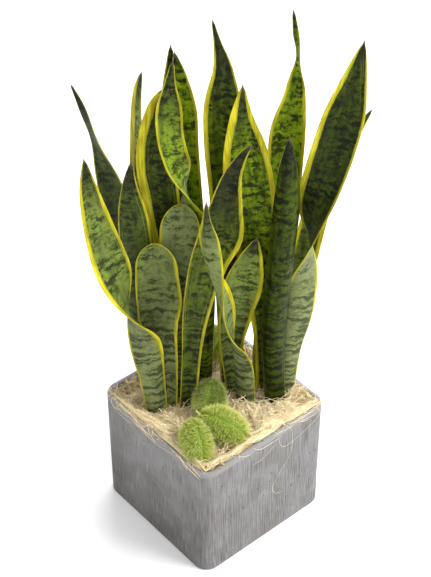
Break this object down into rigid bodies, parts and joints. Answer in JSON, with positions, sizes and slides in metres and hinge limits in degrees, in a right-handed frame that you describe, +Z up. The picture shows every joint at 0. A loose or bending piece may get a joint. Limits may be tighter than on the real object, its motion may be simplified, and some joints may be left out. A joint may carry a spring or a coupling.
{
  "type": "potted snake plant",
  "caption": "Square fibre-clay pot with soil and a sisal mat, holding two clumps of upright sword-shaped leaves and soft seed pods.",
  "frame": {"origin": "centre of the pot's flat underside, where it stands", "axes": "+Z up along the leaves; X and Y parallel to the pot's sides, with the two clumps in a row turned 50 degrees from +X towards +Y"},
  "size_m": [0.2606, 0.3353, 0.7403],
  "materials": {
    "pot": "matt grey fibre-clay, brushed with fine wavy upright lines",
    "soil": "damp dark potting soil",
    "sisal": "loose cream sisal fibre",
    "seed_pod": "soft green bristles",
    "leaf": "waxy dark green with darker cross bands and yellow margins"
  },
  "bodies": {
    "root": {"pot": "pot", "soil": "soil", "sisal_mat": "sisal", "seed_pod_rear": "seed_pod", "seed_pod_upright": "seed_pod", "seed_pod_right": "seed_pod", "seed_pod_left": "seed_pod", "leaf_left_sweeping": "leaf", "leaf_left_round_short": "leaf", "leaf_left_round_tall": "leaf", "leaf_left_leaning_in": "leaf", "leaf_left_short_outer": "leaf", "leaf_left_tall_outer": "leaf", "leaf_left_slim": "leaf", "leaf_left_wide_margin": "leaf", "leaf_left_twisted": "leaf", "leaf_left_rear_tall": "leaf", "leaf_left_rearmost": "leaf", "leaf_right_inner_tall": "leaf", "leaf_right_broad": "leaf", "leaf_right_rear_needle": "leaf", "leaf_right_tall_outer": "leaf", "leaf_right_rearmost": "leaf", "leaf_right_rolled": "leaf", "leaf_right_crossing": "leaf", "leaf_right_short": "leaf"}
  },
  "joints": []
}
